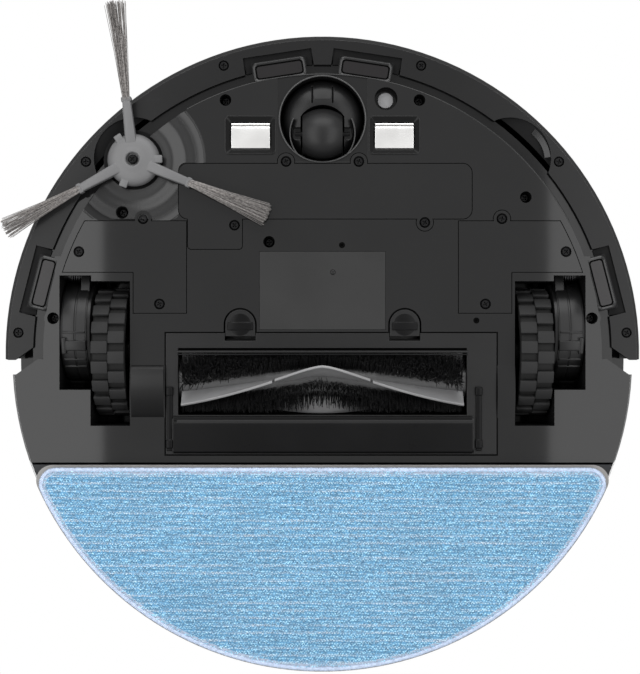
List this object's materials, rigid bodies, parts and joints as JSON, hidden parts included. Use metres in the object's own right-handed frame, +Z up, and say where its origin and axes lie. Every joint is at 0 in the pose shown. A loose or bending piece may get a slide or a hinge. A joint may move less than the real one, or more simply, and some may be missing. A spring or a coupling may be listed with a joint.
{
  "type": "robot vacuum",
  "caption": "Round robot vacuum with mop: sprung drive wheels, caster, side brush, bristle roller under a latched guard, pull-out tank with a cloth, sprung bumper and hinged lid.",
  "frame": {"origin": "on the floor that the robot stands on, below the middle of the round body", "axes": "+Z up; -Y is the way the robot drives, towards the bumper; +X is the side with the charging contact that has a push button beside it"},
  "size_m": [0.35, 0.3537, 0.0796],
  "materials": {
    "body_plastic": "satin",
    "label_film": "satin film",
    "lid_plastic": "gloss",
    "button_plastic": "satin",
    "caster_plastic": "satin",
    "case_plastic": "satin",
    "white_plastic": "satin",
    "tyre_rubber": "matte",
    "steel": "zinc plated",
    "motor_can": "plain",
    "contact_metal": "nickel plated",
    "ir_window": "gloss",
    "inner_plastic": "plain",
    "board": "solder resist",
    "bin_plastic": "smoke tint",
    "filter_paper": "pleated",
    "grey_rubber": "matte",
    "bristle": "nylon",
    "roller_bristle": "nylon",
    "roller_grey": "satin",
    "mop_plastic": "satin",
    "mop_blue": "terry cloth"
  },
  "bodies": {
    "body": {"chassis": "body_plastic", "top_cover": "body_plastic", "battery_cover": "body_plastic", "wheel_cover_left": "body_plastic", "wheel_cover_right": "body_plastic", "underside_screws": "steel", "label_plate": "label_film", "battery_pack": "inner_plastic", "charging_contacts": "contact_metal", "cliff_windows": "ir_window", "bumper_springs": "steel", "bumper_switches": "inner_plastic", "wheel_springs": "steel", "side_brush_motor": "motor_can", "roller_bush": "white_plastic", "roller_motor": "motor_can", "dust_bin": "bin_plastic", "dust_filter": "filter_paper", "fan_housing": "inner_plastic", "fan_motor": "motor_can", "main_board": "board", "speaker": "motor_can"},
    "bumper": {"bumper": "body_plastic", "bumper_window": "ir_window", "bumper_screws": "steel"},
    "lid": {"lid": "lid_plastic"},
    "start_button": {"start_button": "button_plastic"},
    "power_button": {"power_button": "button_plastic"},
    "brush_guard": {"brush_guard": "body_plastic"},
    "guard_latch_left": {"guard_latch_left": "body_plastic"},
    "guard_latch_right": {"guard_latch_right": "body_plastic"},
    "roller": {"roller_core": "roller_grey", "roller_fins": "grey_rubber", "roller_bristles": "roller_bristle"},
    "fan": {"fan_impeller": "white_plastic"},
    "caster_yoke": {"caster_yoke": "caster_plastic", "caster_pin": "steel"},
    "caster_wheel": {"caster_wheel": "caster_plastic"},
    "side_brush": {"side_brush_hub": "grey_rubber", "side_brush_bristles": "bristle", "side_brush_screw": "steel", "side_brush_spindle": "white_plastic"},
    "tank": {"water_tank": "bin_plastic", "tank_plug": "grey_rubber", "mop_plate": "mop_plastic", "mop_cloth": "mop_blue"},
    "arm_left": {"gear_case_left": "case_plastic", "gear_case_cover_left": "case_plastic", "drive_motor_left": "motor_can"},
    "wheel_left": {"tyre_left": "tyre_rubber", "rim_left": "white_plastic", "axle_gear_left": "white_plastic"},
    "pinion_left": {"motor_pinion_left": "white_plastic"},
    "arm_right": {"gear_case_right": "case_plastic", "gear_case_cover_right": "case_plastic", "drive_motor_right": "motor_can"},
    "wheel_right": {"tyre_right": "tyre_rubber", "rim_right": "white_plastic", "axle_gear_right": "white_plastic"},
    "pinion_right": {"motor_pinion_right": "white_plastic"}
  },
  "joints": [
    {"name": "bumper_push", "type": "slide", "parent": "body", "child": "bumper", "axis": [0, 1, 0], "range_m": [0, 0.003], "stiffness_N_per_m": 400, "deforming": ["bumper_springs"]},
    {"name": "lid_open", "type": "hinge", "parent": "body", "child": "lid", "pos_m": [0, -0.072, 0.0764], "axis": [1, 0, 0], "range_deg": [0, 75]},
    {"name": "start_press", "type": "slide", "parent": "body", "child": "start_button", "axis": [0, 0, -1], "range_m": [0, 0.0012], "stiffness_N_per_m": 800},
    {"name": "power_press", "type": "slide", "parent": "body", "child": "power_button", "axis": [0, 0, 1], "range_m": [0, 0.0015], "stiffness_N_per_m": 500},
    {"name": "guard_lift_off", "type": "slide", "parent": "body", "child": "brush_guard", "axis": [0, 0, -1], "range_m": [0, 0.04]},
    {"name": "latch_press_left", "type": "slide", "parent": "brush_guard", "child": "guard_latch_left", "axis": [0, 1, 0], "range_m": [0, 0.002], "stiffness_N_per_m": 500},
    {"name": "latch_press_right", "type": "slide", "parent": "brush_guard", "child": "guard_latch_right", "axis": [0, 1, 0], "range_m": [0, 0.002], "stiffness_N_per_m": 500},
    {"name": "roller_spin", "type": "hinge", "parent": "body", "child": "roller", "pos_m": [0, 0.0145, 0.02], "axis": [1, 0, 0], "continuous": true},
    {"name": "fan_spin", "type": "hinge", "parent": "body", "child": "fan", "pos_m": [-0.04, 0.102, 0.05], "axis": [0, 0, 1], "continuous": true},
    {"name": "caster_swivel", "type": "hinge", "parent": "body", "child": "caster_yoke", "pos_m": [0, -0.124, 0.02], "axis": [0, 0, 1], "continuous": true},
    {"name": "caster_roll", "type": "hinge", "parent": "caster_yoke", "child": "caster_wheel", "pos_m": [0, -0.1164, 0.0135], "axis": [1, 0, 0], "continuous": true},
    {"name": "side_brush_spin", "type": "hinge", "parent": "body", "child": "side_brush", "pos_m": [-0.0995, -0.1022, 0.008], "axis": [0, 0, 1], "continuous": true},
    {"name": "tank_pull_out", "type": "slide", "parent": "body", "child": "tank", "axis": [0, 1, 0], "range_m": [0, 0.12]},
    {"name": "suspension_left", "type": "hinge", "parent": "body", "child": "arm_left", "pos_m": [-0.13, -0.042, 0.024], "axis": [-1, 0, 0], "range_deg": [0, 28], "stiffness_Nm_per_rad": 0.2, "springref_deg": 68.75},
    {"name": "wheel_spin_left", "type": "hinge", "parent": "arm_left", "child": "wheel_left", "pos_m": [-0.11225, -0.001, 0.0345], "axis": [1, 0, 0], "continuous": true},
    {"name": "pinion_spin_left", "type": "hinge", "parent": "arm_left", "child": "pinion_left", "pos_m": [-0.128, -0.02013, 0.03616], "axis": [1, 0, 0], "continuous": true},
    {"name": "suspension_right", "type": "hinge", "parent": "body", "child": "arm_right", "pos_m": [0.13, -0.042, 0.024], "axis": [-1, 0, 0], "range_deg": [0, 28], "stiffness_Nm_per_rad": 0.2, "springref_deg": 68.75},
    {"name": "wheel_spin_right", "type": "hinge", "parent": "arm_right", "child": "wheel_right", "pos_m": [0.11225, -0.001, 0.0345], "axis": [1, 0, 0], "continuous": true},
    {"name": "pinion_spin_right", "type": "hinge", "parent": "arm_right", "child": "pinion_right", "pos_m": [0.128, -0.02013, 0.03616], "axis": [1, 0, 0], "continuous": true}
  ],
  "couplings": [
    {"joint": "pinion_spin_left", "follows": "wheel_spin_left", "ratio": -2},
    {"joint": "pinion_spin_right", "follows": "wheel_spin_right", "ratio": -2}
  ]
}
